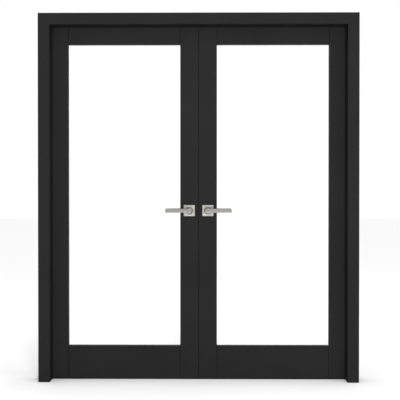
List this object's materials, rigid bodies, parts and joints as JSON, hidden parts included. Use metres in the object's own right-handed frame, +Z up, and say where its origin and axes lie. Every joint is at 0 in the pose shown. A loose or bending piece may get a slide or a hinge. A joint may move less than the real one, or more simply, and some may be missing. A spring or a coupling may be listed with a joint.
{
  "type": "french doors",
  "caption": "Pair of black glazed french doors in a rebated frame with casings, hinged to open away, with lever handles on square roses.",
  "frame": {"origin": "on the floor, at mid width of the doorway and mid depth of the whole object", "axes": "+X to the right seen from the stop side, +Y through the doorway to the hinge side, +Z up"},
  "size_m": [1.858, 0.191, 2.114],
  "materials": {
    "black_lacquer": "matte black lacquer over primed wood",
    "satin_nickel": "satin nickel",
    "plated_steel": "zinc plated",
    "clear_glass": "clear float glass",
    "black_rubber": "matte",
    "birch": "bare"
  },
  "bodies": {
    "frame": {"jamb_left": "black_lacquer", "jamb_right": "black_lacquer", "jamb_head": "black_lacquer", "stop_left": "black_lacquer", "stop_right": "black_lacquer", "stop_head": "black_lacquer", "casing_front_left": "black_lacquer", "casing_front_right": "black_lacquer", "casing_front_head": "black_lacquer", "casing_back_left": "black_lacquer", "casing_back_right": "black_lacquer", "casing_back_head": "black_lacquer", "frame_seal": "black_rubber", "head_strike": "satin_nickel", "frame_fasteners": "plated_steel", "hinge_pins": "satin_nickel", "left_frame_hinges": "satin_nickel", "right_frame_hinges": "satin_nickel"},
    "left_leaf": {"left_hinge_stile": "black_lacquer", "left_meeting_stile": "black_lacquer", "left_top_rail": "black_lacquer", "left_bottom_rail": "black_lacquer", "left_glass": "clear_glass", "left_glazing_seal": "black_rubber", "left_beads": "black_lacquer", "left_dowels": "birch", "left_leaf_hinges": "satin_nickel", "left_meeting_seal": "black_rubber", "left_bottom_seal": "black_rubber", "left_fasteners": "plated_steel", "left_rose_front": "satin_nickel", "left_rose_back": "satin_nickel", "bolt_case": "plated_steel", "left_edge_plate": "satin_nickel"},
    "right_leaf": {"right_hinge_stile": "black_lacquer", "right_meeting_stile": "black_lacquer", "right_top_rail": "black_lacquer", "right_bottom_rail": "black_lacquer", "right_glass": "clear_glass", "right_glazing_seal": "black_rubber", "right_beads": "black_lacquer", "right_dowels": "birch", "right_leaf_hinges": "satin_nickel", "right_meeting_seal": "black_rubber", "right_bottom_seal": "black_rubber", "right_fasteners": "plated_steel", "right_rose_front": "satin_nickel", "right_rose_back": "satin_nickel", "latch_case": "plated_steel", "right_edge_plate": "satin_nickel"},
    "left_lever": {"left_lever_front": "satin_nickel", "left_lever_back": "satin_nickel", "left_spindle": "plated_steel"},
    "left_bolt": {"bolt_rod": "plated_steel"},
    "right_lever": {"right_lever_front": "satin_nickel", "right_lever_back": "satin_nickel", "right_spindle": "plated_steel"},
    "right_latch": {"latch_bolt": "plated_steel"}
  },
  "joints": [
    {"name": "left_leaf_hinge", "type": "hinge", "parent": "frame", "child": "left_leaf", "pos_m": [-0.8565, 0.0405, 1.075], "axis": [0, 0, 1], "range_deg": [0, 170]},
    {"name": "right_leaf_hinge", "type": "hinge", "parent": "frame", "child": "right_leaf", "pos_m": [0.8565, 0.0405, 1.075], "axis": [0, 0, -1], "range_deg": [0, 170]},
    {"name": "left_lever_turn", "type": "hinge", "parent": "left_leaf", "child": "left_lever", "pos_m": [-0.0535, 0.0135, 0.974], "axis": [0, -1, 0], "range_deg": [0, 45], "stiffness_Nm_per_rad": 1.5, "springref_deg": -45.84},
    {"name": "right_lever_turn", "type": "hinge", "parent": "right_leaf", "child": "right_lever", "pos_m": [0.0535, 0.0135, 0.974], "axis": [0, 1, 0], "range_deg": [0, 45], "stiffness_Nm_per_rad": 1.5, "springref_deg": -45.84},
    {"name": "left_bolt_slide", "type": "slide", "parent": "left_leaf", "child": "left_bolt", "axis": [0, 0, -1], "range_m": [0, 0.018]},
    {"name": "right_latch_slide", "type": "slide", "parent": "right_leaf", "child": "right_latch", "axis": [1, 0, 0], "range_m": [0, 0.011]}
  ],
  "couplings": [
    {"joint": "left_bolt_slide", "follows": "left_lever_turn", "m_per_rad": 0.0229},
    {"joint": "right_latch_slide", "follows": "right_lever_turn", "m_per_rad": 0.014}
  ]
}
